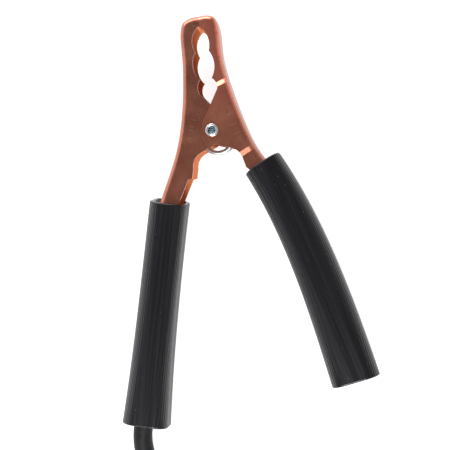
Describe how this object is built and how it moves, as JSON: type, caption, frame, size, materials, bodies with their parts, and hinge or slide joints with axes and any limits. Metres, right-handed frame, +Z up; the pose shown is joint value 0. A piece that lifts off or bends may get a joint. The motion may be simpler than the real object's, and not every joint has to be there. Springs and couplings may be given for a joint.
{
  "type": "ground clamp",
  "caption": "Spring ground clamp for a welding earth lead: two stamped copper-plated jaws on a hollow rivet, black handle sleeves, and a coiled black cable ending in a ring lug.",
  "frame": {"origin": "centre of the underside of the box of the clamp without its lead, on the surface that it lies on", "axes": "+Y along the clamp towards its jaw tips, +Z up, along the rivet, +X towards the free arm's handle"},
  "size_m": [0.1385, 0.3551, 0.0299],
  "materials": {
    "copper_plate": "satin copper plating on stamped steel",
    "zinc_plate": "bright zinc",
    "spring_steel": "zinc-plated wire",
    "grip_pvc": "satin extruded soft PVC, fine ribs",
    "bare_copper": "stranded bare copper",
    "cable_jacket": "matt rubber jacket",
    "tinned_copper": "satin tin plating",
    "shrink_sleeve": "matt shrink tube",
    "tie_fabric": "woven hook-and-loop strap"
  },
  "bodies": {
    "cable_side": {"cable_arm": "copper_plate", "pivot_rivet": "zinc_plate", "torsion_spring": "spring_steel", "cable_grip": "grip_pvc", "bare_conductor": "bare_copper", "cable_tail": "cable_jacket", "earth_cable": "cable_jacket", "cable_coil": "cable_jacket", "cable_end": "cable_jacket", "cable_lug": "tinned_copper", "lug_sleeve": "shrink_sleeve", "coil_tie": "tie_fabric"},
    "free_side": {"free_arm": "copper_plate", "free_grip": "grip_pvc"}
  },
  "joints": [
    {"name": "jaw_hinge", "type": "hinge", "parent": "cable_side", "child": "free_side", "pos_m": [0.00004, 0.04283, 0.0108], "axis": [0, 0, -1], "range_deg": [0, 30], "stiffness_Nm_per_rad": 2, "springref_deg": -34.38, "deforming": ["torsion_spring"]}
  ]
}
